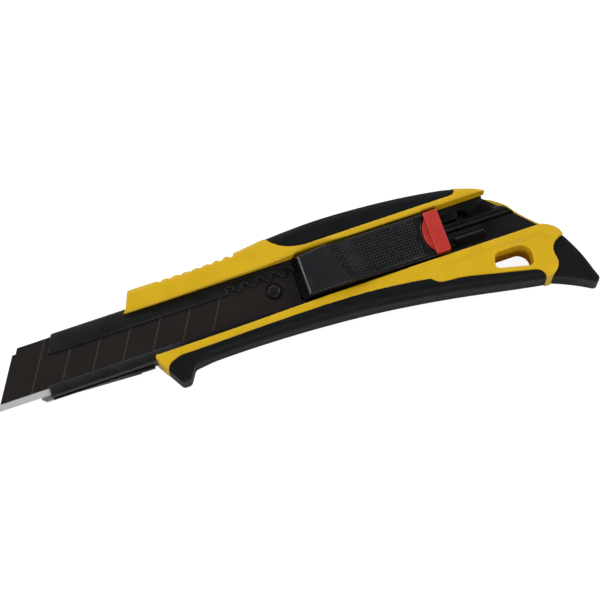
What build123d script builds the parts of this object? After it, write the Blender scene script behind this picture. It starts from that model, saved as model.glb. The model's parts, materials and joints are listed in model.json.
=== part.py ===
"""Snap-off utility knife with a locking slider, 18 mm blade, lying on its flat back.

Origin: centre of the flat back, under the channel's centre line. +X runs from the blade tip to
the tail, +Y points to the spine and +Z out of the slider's side. Millimetres.
"""
import os
from math import radians, tan

from build123d import *

os.makedirs("parts", exist_ok=True)

# ---------------------------------------------------------------- driving dimensions
# Blade
blade_width = 18.0
blade_thickness = 0.5
blade_length = 102.0
segment_pitch = 10.0
segment_count = 8
score_angle = 59.5
score_depth = 0.1
score_width = 0.55
bevel_height = 2.1
edge_thickness = 0.04
blade_hole_diameter = 5.4
blade_hole_inset = 7.4
tip_notch_height = 1.8
tip_notch_length = 1.1

# Steel channel and the plates behind it
blade_plane_z = 6.5
sheet = 0.7
upper_flange_width = 6.2
lower_flange_width = 3.75
holder_front_x = -92.6
upper_front_x = -89.9
upper_front_lean = 3.1
holder_rear_x = 57.7
flange_end_x = 52.2
back_plate_thickness = 0.8
back_plate_lip = 3.4
back_plate_drop = 0.45
plate_corner = 1.5
rack_pitch = 5.0
rack_notches = 15
notch_width = 1.8
notch_depth = 2.0
lobe_round = 1.2
release_notch_step = 6.4
plate_rear_x = 30.3
bend_round = 0.6
rib_width = 3.8
rib_height = 1.9
rib_y = 1.95
rib_start_x = 35.0
frame_nose_x = -91.5
frame_nose_drop = 0.7

# Handle
channel_lip = 1.65
shell_back = 2.0
nose_x = -62.8
lower_nose_x = -58.0
face_front = 10.3
face_middle = 12.3
face_rear = 12.7
shell_round = 1.5
spine_round = 2.6
belly_round = 3.0
hook_round = 1.6
ridge_pitch = 3.4
ridge_count = 7
ridge_start_x = -48.8
ridge_radius = 0.95
ridge_depth = 0.75
nose_round = 1.0
recess_depth = 0.45
recess_full_x = 55.0
recess_fall = 0.008
lanyard_rounds = (1.3, 2.0, 4.0, 1.6)
fin_thickness = 10.2
fin_bottom_z = 1.2
fin_round = 1.0
fin_tip_round = 1.25

# Slider
slider_front_x = -7.6
slider_length = 44.5
pad_arc_depth = 2.3
pad_arc_shoulder = 0.95
pad_side_gap = 0.85
pad_nose_gap = 1.6
pad_taper_length = 19.6
pad_front_lean = 2.0
pad_front_height = 5.8
pad_peak_height = 8.1
pad_rest_height = 4.7
pad_peak_reach = 13.3
pad_edge_round = 0.5
pad_rim = 1.1
scoop_lean = 0.32
carriage_front_length = 20.0
tail_reach = 62.5
tail_radius = 2.3
tail_y = -3.35
carrier_thickness = 0.6
carrier_reach = 17.9
carrier_half_width = 4.8
carrier_rear_reach = 12.8
carrier_corner = 2.0
peg_reach = 7.8
peg_diameter = 4.3
peg_height = 1.3
peg_chamfer = 0.3
base_inset = 1.0
base_thickness = 1.5
base_side_wall = 1.0
base_end_wall = 3.7
leaf_thickness = 0.4
leaf_width = 2.2
leaf_inset = 0.35
leaf_start = 8.6
leaf_clamp_length = 4.5
tooth_reach = 29.0
tooth_width = 1.3

# Lock
lock_width = 4.8
lock_height = 3.4
lock_side_gap = 1.15
lock_disc_radius = 8.45
lock_travel = 3.0
lock_round = 0.35
bar_bottom_z = 10.5
disc_bottom_z = 9.6
disc_top_z = 12.3
stem_length = 3.5
stem_width = 2.1
stem_bottom_z = 7.15
stem_inset = 0.3
wedge_inset = 0.7
wedge_top_z = 11.8

# Fits
flange_gap = 0.15
side_gap = 0.15
running_gap = 0.15
carrier_gap = 0.05
lift_gap = 0.2
part_gap = 0.3
leaf_gap = 0.2
spring_gap = 0.1
pocket_gap = 0.05
tongue_thickness = 3.0
tongue_bottom_z = 4.5

# Fasteners
rivet_radius = 1.4
rivet_y = -4.0
rivet_places = (-72.0, -30.0, 15.0)
rivet_bottom_z = 2.5
screw_radius = 1.25
screw_head_radius = 2.2
screw_head_height = 1.2
screw_sink = 0.3
screw_tip_z = 3.6
screw_slot_length = 2.6
screw_slot_width = 0.6
screw_slot_depth = 0.5
screw_places = (-40.0, 9.0, 46.0)
pin_radius = 1.2
pin_length = 8.5
pin_bottom_z = 1.0
pin_places = ((69.4, -16.4), (69.4, -20.2))
carrier_rivet_inset = 4.6
carrier_rivet_y = 2.2
carrier_rivet_length = 1.9
pad_screw_reach = (16.6, 35.6)
pad_screw_y = (-2.0, -3.2)
pad_screw_radius = 1.0
pad_screw_head_radius = 1.8
pad_screw_head_height = 0.9
pad_screw_length = 5.6
spring_rivet_inset = 2.0
spring_rivet_radius = 0.8

# ---------------------------------------------------------------- derived places
from_below = (Align.CENTER, Align.CENTER, Align.MIN)
blade_top_z = blade_plane_z + blade_thickness / 2
blade_bottom_z = blade_plane_z - blade_thickness / 2
flange_bottom_z = blade_top_z + flange_gap
flange_top_z = flange_bottom_z + sheet
carrier_top_z = blade_bottom_z - carrier_gap
carrier_bottom_z = carrier_top_z - carrier_thickness
web_top_z = carrier_bottom_z - running_gap
web_bottom_z = web_top_z - sheet
plate_bottom_z = web_bottom_z - back_plate_thickness
base_bottom_z = flange_top_z + lift_gap
base_top_z = base_bottom_z + base_thickness
pad_rest_z = base_bottom_z + pad_rest_height
shoe_top_z = flange_bottom_z - running_gap
leaf_bottom_z = base_bottom_z + leaf_gap
leaf_top_z = leaf_bottom_z + leaf_thickness
recess_top_z = base_top_z - part_gap
bar_top_z = bar_bottom_z + lock_height
handle_top_z = 16.0

inner_half = blade_width / 2 + side_gap
outer_half = inner_half + sheet
pocket_half = outer_half + pocket_gap
channel_half_width = outer_half - channel_lip
pad_rear_half = channel_half_width - pad_side_gap
pad_front_half = channel_half_width - pad_nose_gap
pad_arc_edge = pad_rear_half - pad_arc_shoulder
base_half_width = pad_front_half - base_side_wall
lock_half_length = channel_half_width - lock_side_gap
upper_edge_y = outer_half - upper_flange_width
lower_edge_y = -outer_half + lower_flange_width
plate_low_y = -outer_half - back_plate_drop
shoe_half = inner_half - running_gap
neck_low_y = lower_edge_y + running_gap
neck_high_y = upper_edge_y - running_gap
rear_high_y = rib_y - rib_width / 2 - part_gap
leaf_low_y = upper_edge_y - leaf_inset
leaf_high_y = leaf_low_y + leaf_width
blade_low_y = -blade_width / 2

tip_lean = 1 / tan(radians(score_angle))
hole_x = slider_front_x - peg_reach
blade_rear_x = hole_x + blade_hole_inset
blade_tip_x = blade_rear_x - blade_length
lip_x = holder_front_x - back_plate_lip
carrier_front_x = slider_front_x - carrier_reach
carrier_rear_x = slider_front_x + carrier_rear_reach
carrier_rivet_x = slider_front_x + carrier_rivet_inset
shoe_rear_x = slider_front_x + carriage_front_length
base_front_x = slider_front_x + base_inset
tail_end_x = slider_front_x + tail_reach
pad_rear_x = slider_front_x + slider_length
base_rear_x = pad_rear_x - base_end_wall
pad_arc_x = pad_rear_x - pad_arc_depth
pad_peak_x = slider_front_x + pad_peak_reach
leaf_front_x = slider_front_x + leaf_start
tooth_x = slider_front_x + tooth_reach
leaf_rear_x = tooth_x + tooth_width / 2
bar_front_x = pad_rear_x
stem_front_x = bar_front_x + stem_inset
wedge_tab_x = bar_front_x + wedge_inset
wedge_front_x = leaf_rear_x - lock_travel + part_gap
rack_start_x = tooth_x - rack_pitch * 10
notch_places = [rack_start_x + index * rack_pitch for index in range(rack_notches)]
release_notch_x = notch_places[-1] + release_notch_step
screw_points = [(x, 0, 0) for x in screw_places]
carrier_rivet_places = ((carrier_rivet_x, -carrier_rivet_y), (carrier_rivet_x, carrier_rivet_y))
pad_screw_places = [(slider_front_x + reach, y) for reach, y in zip(pad_screw_reach, pad_screw_y)]
spring_rivet_place = (leaf_front_x + spring_rivet_inset, (leaf_low_y + leaf_high_y) / 2, leaf_bottom_z)


# ---------------------------------------------------------------- handle outlines
def by_channel(*points):
    """Plan points given as x and reach past the channel's side, minus for the belly's side."""
    return [(x, reach + outer_half if reach > 0 else reach - outer_half) for x, reach in points]


def handle_outline():
    """Plan of the shell with both grips, without the guard hook and the fin."""
    with BuildSketch(mode=Mode.PRIVATE) as outline:
        with BuildLine():
            corner = by_channel((lower_nose_x + 0.5, -0.45), (nose_x + 3.4, 4.95))
            nose = Polyline(corner[0], (lower_nose_x, -channel_half_width),
                            (nose_x, channel_half_width - 0.6), corner[1])
            spine = Spline(nose @ 1, *by_channel((-46, 4.75), (-25, 5.25), (-16.2, 6.25), (-5.9, 6.95),
                           (4.3, 7.2), (14.3, 6.85), (24.2, 6.15), (34.0, 5.1), (43.7, 3.65), (47.2, 2.95),
                           (51.8, 1.55), (55.4, 0.3)), (57.2, 9.3), tangents=[(1, 0.0), (1, -0.55)])
            diagonal = Spline(spine @ 1, (60.9, 7.5), (63.65, 5.5), (65.4, 3.95), (66.6, 2.1), (68.8, -0.75),
                              (73.5, -5.6), tangents=[(1, -0.6), (1, -1.05)])
            tail = Spline(diagonal @ 1, (76.6, -10.6), (77.2, -14.6), (74.6, -21.6),
                          *by_channel((67.0, -15.35)), tangents=[(1, -1.05), (-1, 0.16)])
            belly = Spline(tail @ 1, *by_channel((54.2, -13.05), (41.4, -10.65), (28.5, -8.6), (15.5, -6.95),
                           (2.4, -5.8), (-10.9, -5.05), (-24.2, -4.7), (-37.8, -4.75), (-47, -5.3)),
                           tangents=[(-1, 0.16), (-1, -0.1)])
            chin = Line(belly @ 1, by_channel((-55.2, -4.4))[0])
            Line(chin @ 1, nose @ 0)
        make_face()
    return outline.sketch


def upper_grip_region():
    """Plan region of the spine-side grip."""
    with BuildSketch(mode=Mode.PRIVATE) as region:
        with BuildLine():
            front = by_channel((-14.2, 8.65), (-12.4, 5.35), (-7.9, 1.85), (-2, 0.4), (5, 0.35))
            edge = Spline(*front, tangents=[(0.3, -1), (1, 0)])
            rail = Line(edge @ 1, *by_channel((47.0, 0.25)))
            end = Spline(rail @ 1, *by_channel((48.9, 0.8), (49.35, 1.6), (48.7, 2.4), (47.4, 3.2)),
                         tangents=[(1, 0), (-1, 0.5)])
            Polyline(end @ 1, *by_channel((47.4, 12), (-14.2, 12)), edge @ 0)
        make_face()
    return region.sketch


def lower_grip_region():
    """Plan region of the edge-side grip with the finger guard."""
    with BuildSketch(mode=Mode.PRIVATE) as region:
        with BuildLine():
            nose = Spline(*by_channel((-55.4, -5.35), (-54.2, -2.9), (-50.6, -1.45), (-44, -1.25)),
                          tangents=[(0.2, 1), (1, 0)])
            edge = Spline(nose @ 1, *by_channel((-8.5, -1.0), (8, -1.35), (20, -2.3), (31.6, -3.9)),
                          tangents=[(1, 0.01), (1, -0.16)])
            step = Spline(edge @ 1, *by_channel((33.8, -5.5), (37.6, -6.5), (44, -7.25)),
                          tangents=[(1, -0.16), (1, -0.18)])
            rear = Line(step @ 1, *by_channel((64.0, -11.95)))
            end = Spline(rear @ 1, *by_channel((66.9, -13.6), (67.3, -18.0)),
                         tangents=[(1, -0.2), (-0.1, -1)])
            Polyline(end @ 1, *by_channel((67.3, -22), (-60, -22), (-60, -5.35)), nose @ 0)
        make_face()
    return region.sketch


def hook_outline():
    """Plan of the finger guard."""
    with BuildSketch(mode=Mode.PRIVATE) as outline:
        with BuildLine():
            Polyline(*by_channel((-57.0, -1.3), (-52.2, -9.7), (-49.5, -9.5), (-46.8, -5.3), (-40, -4.45),
                     (-38, -1.15)), close=True)
        make_face()
        fillet(outline.vertices().sort_by(Axis.Y)[0:2], 1.25)
        root = outline.vertices().sort_by_distance(by_channel((-46.8, -5.3))[0])[0]
        fillet(root, 1.8)
    return outline.sketch


def lanyard_outline():
    """Rounded wedge-shaped hole for a lanyard."""
    with BuildSketch(mode=Mode.PRIVATE) as outline:
        with BuildLine():
            corners = by_channel((52.9, -7.5), (54.3, -2.75), (66.3, -2.65), (65.1, -10.5))
            Polyline(*corners, close=True)
        make_face()
        for corner, radius in zip(corners, lanyard_rounds):
            fillet(outline.vertices().sort_by_distance(corner)[0], radius)
    return outline.sketch


def fin_outline():
    """Plan of the hooked tail fin, with the part that laps the shell's rear seat."""
    with BuildSketch(mode=Mode.PRIVATE) as outline:
        with BuildLine():
            top = Spline((75.8, -12.0), (78.55, -16.5), (80.05, -19.9), (81.3, -23.4), (82.9, -28.9),
                         (84.35, -32.95), tangents=[(1, -1), (0.3, -1)])
            under = Spline(top @ 1, (79.9, -30.35), (76.6, -28.55), (69.0, -25.2),
                           tangents=[(-1, 0.45), (-1, 0.35)])
            Polyline(under @ 1, (69.0, -14), (72, -12.0), top @ 0)
        make_face()
        fillet(outline.vertices().sort_by(Axis.Y)[0], fin_tip_round)
    return outline.sketch


def fin_seat():
    """Plan region behind the shell's rear edge, where the fin sits."""
    with BuildSketch(mode=Mode.PRIVATE) as region:
        with BuildLine():
            seat_top = Spline((79.0, -13.1), (76.6, -13.7), (74.3, -14.7), (72.8, -16.4), (72.4, -18.7),
                              tangents=[(-1, -0.1), (0.05, -1)])
            seat = Spline(seat_top @ 1, (72.6, -21.4), (71.6, -23.6), (69.7, -25.1), (67.8, -26.3),
                          tangents=[(0.05, -1), (-1, -0.6)])
            Polyline(seat @ 1, (67.8, -34), (90, -34), (90, -13.1), seat_top @ 0)
        make_face()
    return region.sketch


def tongue_outline():
    """Plan of the fin's tongue inside the shell."""
    with BuildSketch(mode=Mode.PRIVATE) as outline:
        with BuildLine():
            Polyline((67.8, -14.9), (74.4, -14.9), (74.4, -22.0), (67.8, -22.0), close=True)
        make_face()
    return outline.sketch


def lug_ends_region():
    """Plan region past the rounded rear ends of the upper arm and of the lanyard lug."""
    with BuildSketch(mode=Mode.PRIVATE) as region:
        with BuildLine():
            arm = Spline((55.2, 11.0), (57.2, 9.4), (58.15, 8.75), (58.65, 8.0), (58.7, 7.2), (58.2, 6.5),
                         tangents=[(1, -0.8), (-0.8, -1)])
            inside = Polyline(arm @ 1, (58.2, 0), (66.0, -channel_half_width + 0.05))
            lug = Spline(inside @ 1, (71.6, -8.25), (75.35, -10.3), (77.8, -14.7),
                         tangents=[(1, 0), (0.3, -1)])
            Polyline(lug @ 1, (84, -14.7), (84, 14), (55.2, 14), arm @ 0)
        make_face()
    return region.sketch


def recess_region():
    """Plan region of the hollow below the bead that follows the channel and hooks round the lug."""
    with BuildSketch(mode=Mode.PRIVATE) as region:
        with BuildLine():
            crease = Spline((32.5, -16), (34.6, -12.6), (38.5, -11.2), (44.6, -11.0), (52.4, -10.75),
                            (59.7, -11.0), (67.2, -11.2), (71.0, -11.8), (72.9, -13.1), (72.7, -15.4),
                            tangents=[(0.3, 1), (-0.4, -1)])
            Polyline(crease @ 1, (72.7, -30), (32.5, -30), crease @ 0)
        make_face()
    return region.sketch


def crown_profile():
    """Side view of the handle: flat back, face rising from the nose to the middle."""
    with BuildSketch(Plane.XZ, mode=Mode.PRIVATE) as profile:
        with BuildLine():
            face = Spline((-70, face_front - 0.4), (-55, face_front), (-10, face_middle - 0.5),
                          (15, face_middle), (60, face_rear), (90, face_rear - 0.8))
            Polyline(face @ 1, (90, 0), (-70, 0), face @ 0)
        make_face()
    return profile.sketch


def blade_plan():
    """Plan of the blade strip: leaning front with the snapped corner, square rear."""
    with BuildSketch(mode=Mode.PRIVATE) as plan:
        with BuildLine():
            notch_y = -blade_low_y - tip_notch_height
            lean_x = blade_tip_x + (blade_width - tip_notch_height) * tip_lean
            step_x = lean_x + tip_notch_length
            top_x = step_x + tip_notch_height * tip_lean
            Polyline((blade_tip_x, blade_low_y), (lean_x, notch_y), (step_x, notch_y), (top_x, -blade_low_y),
                     (blade_rear_x, -blade_low_y), (blade_rear_x, blade_low_y), close=True)
        make_face()
    return plan.sketch


def channel_plan(front_x, low_y, high_y, grow=0.0):
    """Plan of what lies in the handle's channel, cut off by the open rear diagonal."""
    with BuildSketch(mode=Mode.PRIVATE) as plan:
        with BuildLine():
            Polyline((front_x, low_y), (front_x, high_y), (56.4 + grow, high_y),
                     (59.0 + grow, high_y - 2.75), (64.2 + grow, 2.0), (74.6 + grow, low_y), close=True)
        make_face()
    return plan.sketch


def pad_plan():
    """Plan of the thumb pad: narrower nose, concave arc at the rear."""
    taper_x = slider_front_x + pad_taper_length
    with BuildSketch(mode=Mode.PRIVATE) as plan:
        with BuildLine():
            sides = Polyline((pad_rear_x, -pad_arc_edge), (pad_rear_x, -pad_rear_half),
                             (taper_x, -pad_rear_half), (slider_front_x, -pad_front_half),
                             (slider_front_x, pad_front_half), (taper_x, pad_rear_half),
                             (pad_rear_x, pad_rear_half), (pad_rear_x, pad_arc_edge))
            ThreePointArc(sides @ 1, (pad_arc_x, 0), sides @ 0)
        make_face()
    return plan.sketch


def box_between(x0, x1, y0, y1, z0, z1, mode=Mode.ADD):
    """A box between two corners."""
    with Locations(((x0 + x1) / 2, (y0 + y1) / 2, (z0 + z1) / 2)):
        Box(x1 - x0, y1 - y0, z1 - z0, mode=mode)


# ---------------------------------------------------------------- handle
with BuildPart() as block:
    add(handle_outline())
    extrude(amount=handle_top_z)
    extrude(crown_profile(), amount=60, both=True, mode=Mode.INTERSECT)

with BuildPart() as recess_cutter:
    recess_root_z = face_rear - recess_depth + recess_fall * recess_full_x
    with BuildSketch(Plane((0, 0, recess_root_z), x_dir=(1, 0, -recess_fall), z_dir=(recess_fall, 0, 1))):
        add(recess_region())
    extrude(amount=4 * recess_depth)

with BuildPart() as handle_shell:
    add(block.part)
    rim = handle_shell.edges().filter_by(
        lambda edge: (edge @ 0.5).X > nose_x + 15 and abs((edge @ 0.5).Y) > 1 and edge.length > 20)
    fillet(rim, shell_round)
    add(recess_cutter.part, mode=Mode.SUBTRACT)
    with BuildSketch(Plane.XY.offset(web_bottom_z)):
        Rectangle(4 * slider_length + 2 * blade_length, 2 * channel_half_width)
    extrude(amount=handle_top_z, mode=Mode.SUBTRACT)
    with BuildSketch(Plane.XY.offset(shell_back)):
        add(channel_plan(blade_tip_x, -pocket_half, pocket_half, 20))
    extrude(amount=flange_top_z + pocket_gap - shell_back, mode=Mode.SUBTRACT)
    with BuildSketch(Plane.XY.offset(web_bottom_z)):
        add(lug_ends_region())
    extrude(amount=handle_top_z, mode=Mode.SUBTRACT)
    nose_corner = handle_shell.edges().filter_by(Axis.Z).filter_by(
        lambda edge: (edge @ 0.5).X < lower_nose_x + 1 and (edge @ 0.5).Z > flange_top_z
        and abs((edge @ 0.5).Y + channel_half_width) < 0.05)
    fillet(nose_corner, nose_round)
    extrude(upper_grip_region(), amount=handle_top_z, mode=Mode.SUBTRACT)
    extrude(lower_grip_region(), amount=handle_top_z, mode=Mode.SUBTRACT)
    extrude(fin_seat(), amount=handle_top_z, mode=Mode.SUBTRACT)
    extrude(lanyard_outline(), amount=handle_top_z, mode=Mode.SUBTRACT)
    ridge_y = outer_half + 4.85 + ridge_radius - ridge_depth
    with Locations(*[(ridge_start_x + index * ridge_pitch, ridge_y) for index in range(ridge_count + 1)]):
        Cylinder(ridge_radius, 4 * handle_top_z, mode=Mode.SUBTRACT)
    with Locations(*screw_points):
        Cylinder(screw_radius, 4 * shell_back, mode=Mode.SUBTRACT)
        Cylinder(screw_head_radius + spring_gap, 2 * (screw_head_height + screw_sink), mode=Mode.SUBTRACT)
    with BuildSketch(Plane.XY.offset(tongue_bottom_z - pocket_gap)):
        add(tongue_outline())
    extrude(amount=tongue_thickness + 2 * pocket_gap, mode=Mode.SUBTRACT)
    with Locations(*[(x, y, pin_bottom_z) for x, y in pin_places]):
        Cylinder(pin_radius, pin_length, align=from_below, mode=Mode.SUBTRACT)

with BuildPart() as upper_grip:
    add(block.part)
    extrude(upper_grip_region(), amount=handle_top_z, mode=Mode.INTERSECT)
    outer = upper_grip.edges().filter_by(lambda edge: (edge @ 0.5).Y > 14.5 and edge.length > 40)
    fillet(outer, spine_round)

with BuildPart() as finger_guard:
    add(hook_outline())
    extrude(amount=face_front)
    rim = finger_guard.edges().filter_by(
        lambda edge: abs(edge.tangent_at(0.5).Z) < 0.1 and (edge @ 0.5).Y < -12 and (edge @ 0.5).X < -41)
    fillet(rim, hook_round)
    extrude(lower_grip_region(), amount=handle_top_z, mode=Mode.INTERSECT)

with BuildPart() as lower_grip:
    add(block.part)
    extrude(lower_grip_region(), amount=handle_top_z, mode=Mode.INTERSECT)
    outer = lower_grip.edges().filter_by(lambda edge: (edge @ 0.5).Y < -14 and edge.length > 60)
    fillet(outer, belly_round)
    add(finger_guard.part)

with BuildPart() as tail_fin:
    with BuildSketch(Plane.XY.offset(fin_bottom_z)):
        add(fin_outline())
    extrude(amount=fin_thickness)
    rim = tail_fin.edges().filter_by(
        lambda edge: (edge @ 0.5).X > 72 and abs(edge.tangent_at(0.5).Z) < 0.1 and (edge @ 0.5).Y < -12.5)
    fillet(rim, fin_round)
    extrude(fin_seat(), amount=handle_top_z, mode=Mode.INTERSECT)
    with BuildSketch(Plane.XY.offset(tongue_bottom_z)):
        add(tongue_outline())
    extrude(amount=tongue_thickness)
    with Locations(*[(x, y, pin_bottom_z) for x, y in pin_places]):
        Cylinder(pin_radius, pin_length, align=from_below, mode=Mode.SUBTRACT)

with BuildPart() as fin_pins:
    with Locations(*[(x, y, pin_bottom_z) for x, y in pin_places]):
        Cylinder(pin_radius, pin_length, align=from_below)

with BuildPart() as inner_frame:
    add(channel_plan(nose_x + 5.5, -outer_half, outer_half))
    extrude(amount=web_bottom_z)
    with BuildSketch():
        with BuildLine():
            Polyline((frame_nose_x, -outer_half), (nose_x + 4, -outer_half - frame_nose_drop),
                     (nose_x + 4, -outer_half), (nose_x + 6, -outer_half), (nose_x + 6, outer_half),
                     (frame_nose_x, outer_half), close=True)
        make_face()
    extrude(amount=web_bottom_z)
    with BuildSketch(Plane.XZ):
        with BuildLine():
            Polyline((frame_nose_x, plate_bottom_z), (frame_nose_x, plate_bottom_z - 0.6),
                     (nose_x - 0.6, 1.0), (nose_x - 0.6, shell_back), (90, shell_back),
                     (90, web_bottom_z), (plate_rear_x + part_gap, web_bottom_z),
                     (plate_rear_x + part_gap, plate_bottom_z), close=True)
        make_face()
    extrude(amount=30, both=True, mode=Mode.INTERSECT)
    with Locations(*screw_points):
        Cylinder(screw_radius, 2 * screw_tip_z, mode=Mode.SUBTRACT)
    with Locations(*[(x, rivet_y, rivet_bottom_z) for x in rivet_places]):
        Cylinder(rivet_radius, handle_top_z, align=from_below, mode=Mode.SUBTRACT)

with BuildPart() as shell_screws:
    with Locations(*[(x, 0, screw_sink) for x in screw_places]):
        Cylinder(screw_head_radius, screw_head_height, align=from_below)
        Cylinder(screw_radius, screw_tip_z - screw_sink, align=from_below)
        Box(screw_slot_length, screw_slot_width, 2 * screw_slot_depth, mode=Mode.SUBTRACT)
        Box(screw_slot_width, screw_slot_length, 2 * screw_slot_depth, mode=Mode.SUBTRACT)

# ---------------------------------------------------------------- steel channel
with BuildPart() as channel_rib:
    with BuildSketch(Plane.YZ.offset(rib_start_x)):
        with Locations((rib_y, web_top_z)):
            Ellipse(rib_width / 2, rib_height)
            Rectangle(2 * rib_width, 2 * rib_height, align=(Align.CENTER, Align.MAX), mode=Mode.SUBTRACT)
    extrude(amount=2 * slider_length)
    with BuildSketch(Plane.XY.offset(web_top_z)):
        add(channel_plan(0, -outer_half + bend_round, outer_half - bend_round))
    extrude(amount=rib_height, mode=Mode.INTERSECT)

with BuildPart() as blade_holder:
    with BuildSketch(Plane.YZ.offset(holder_front_x)):
        with Locations((0, (web_bottom_z + flange_top_z) / 2)):
            Rectangle(2 * outer_half, flange_top_z - web_bottom_z)
        with Locations((0, (web_top_z + flange_bottom_z) / 2)):
            Rectangle(2 * inner_half, flange_bottom_z - web_top_z, mode=Mode.SUBTRACT)
        with Locations(((lower_edge_y + upper_edge_y) / 2, (web_top_z + handle_top_z) / 2)):
            Rectangle(upper_edge_y - lower_edge_y, handle_top_z - web_top_z, mode=Mode.SUBTRACT)
    extrude(amount=holder_rear_x - holder_front_x)
    bends = blade_holder.edges().filter_by(Axis.X).filter_by(
        lambda edge: abs(abs((edge @ 0.5).Y) - outer_half) < 0.01)
    fillet(bends, bend_round)
    with BuildSketch(Plane.XY.offset(web_bottom_z)):
        add(channel_plan(0, -outer_half + bend_round, outer_half - bend_round))
    extrude(amount=sheet)
    add(channel_rib.part)
    with BuildSketch():
        with BuildLine():
            Polyline((holder_front_x, lower_edge_y), (upper_front_x, upper_edge_y),
                     (upper_front_x + upper_front_lean, outer_half), (holder_front_x - 5, outer_half),
                     (holder_front_x - 5, lower_edge_y), close=True)
        make_face()
    extrude(amount=handle_top_z, mode=Mode.SUBTRACT)
    with BuildSketch(Plane.XY.offset(web_top_z)):
        with BuildLine():
            Polyline((release_notch_x, upper_edge_y - 1), (release_notch_x, upper_edge_y),
                     (release_notch_x + 0.6, upper_edge_y + notch_depth),
                     (release_notch_x + 2.3, upper_edge_y + notch_depth + 0.4),
                     (flange_end_x, upper_edge_y + 0.25), (holder_rear_x - 0.4, outer_half - 3.5),
                     (holder_rear_x, outer_half - 1.7), (holder_rear_x + 2, outer_half - 1.7),
                     (holder_rear_x + 2, upper_edge_y - 1), close=True)
        make_face()
        with Locations(*[(x, upper_edge_y) for x in notch_places]):
            Rectangle(notch_width, 2 * notch_depth)
    extrude(amount=handle_top_z, mode=Mode.SUBTRACT)
    lobe_corners = blade_holder.edges().filter_by(Axis.Z).filter_by(
        lambda edge: abs((edge @ 0.5).Y - upper_edge_y) < 0.01 and edge.length < 2 * sheet
        and rack_start_x < (edge @ 0.5).X < notch_places[-1])
    fillet(lobe_corners, lobe_round)
    with Locations(*[(x, rivet_y, 0) for x in rivet_places]):
        Cylinder(rivet_radius, 2 * web_top_z, mode=Mode.SUBTRACT)

with BuildPart() as holder_back_plate:
    with BuildSketch(Plane.XY.offset(plate_bottom_z)):
        with BuildLine():
            Polyline((lip_x, -outer_half + 0.9), (lip_x + plate_corner, plate_low_y),
                     (nose_x + 3.5, plate_low_y), (nose_x + 3.5, -outer_half), (plate_rear_x, -outer_half),
                     (plate_rear_x, outer_half - part_gap),
                     (upper_front_x + upper_front_lean, outer_half - part_gap), close=True)
        make_face()
    extrude(amount=back_plate_thickness)
    with Locations(*[(x, rivet_y, 0) for x in rivet_places]):
        Cylinder(rivet_radius, 2 * web_top_z, mode=Mode.SUBTRACT)

with BuildPart() as holder_rivets:
    with Locations(*[(x, rivet_y, rivet_bottom_z) for x in rivet_places]):
        Cylinder(rivet_radius, web_top_z - rivet_bottom_z, align=from_below)

# ---------------------------------------------------------------- blade and its carrier
with BuildPart() as snap_off_blade:
    with BuildSketch(Plane.XY.offset(blade_bottom_z)):
        add(blade_plan())
    extrude(amount=blade_thickness)
    with BuildSketch(Plane.YZ.offset(blade_tip_x - 1)):
        for side in (1, -1):
            face_z = blade_plane_z + side * blade_thickness / 2
            with BuildLine():
                Polyline((blade_low_y, blade_plane_z + side * edge_thickness / 2),
                         (blade_low_y + bevel_height, face_z), (blade_low_y, face_z), close=True)
            make_face()
    extrude(amount=blade_length + 2, mode=Mode.SUBTRACT)
    with BuildSketch(Plane.XY.offset(blade_top_z - score_depth)):
        for segment in range(1, segment_count):
            score_x = blade_tip_x + segment * segment_pitch
            with BuildLine():
                Polyline((score_x, blade_low_y), (score_x + score_width, blade_low_y),
                         (score_x + score_width + blade_width * tip_lean, -blade_low_y),
                         (score_x + blade_width * tip_lean, -blade_low_y), close=True)
            make_face()
    extrude(amount=score_depth, mode=Mode.SUBTRACT)
    with Locations((hole_x, 0, blade_plane_z)):
        Cylinder(blade_hole_diameter / 2, 2 * blade_thickness, mode=Mode.SUBTRACT)

with BuildPart() as carrier_plate:
    with BuildSketch(Plane.XY.offset(carrier_bottom_z)):
        with BuildLine():
            corner_y = carrier_half_width - carrier_corner
            Polyline((carrier_front_x + carrier_corner, -carrier_half_width), (carrier_front_x, -corner_y),
                     (carrier_front_x, corner_y), (carrier_front_x + carrier_corner, carrier_half_width),
                     (carrier_rear_x, carrier_half_width), (carrier_rear_x, -carrier_half_width), close=True)
        make_face()
        with Locations((hole_x, 0)):
            Circle(peg_diameter / 2, mode=Mode.SUBTRACT)
        with Locations(*carrier_rivet_places):
            Circle(rivet_radius, mode=Mode.SUBTRACT)
    extrude(amount=carrier_thickness)

with BuildPart() as blade_peg:
    with BuildSketch(Plane.XY.offset(carrier_bottom_z)):
        with Locations((hole_x, 0)):
            Circle(peg_diameter / 2)
    extrude(amount=blade_top_z + peg_height - carrier_bottom_z)
    chamfer(blade_peg.edges().group_by(Axis.Z)[-1], peg_chamfer)

with BuildPart() as carrier_rivets:
    with Locations(*[(x, y, carrier_bottom_z) for x, y in carrier_rivet_places]):
        Cylinder(rivet_radius, carrier_rivet_length, align=from_below)

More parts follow.
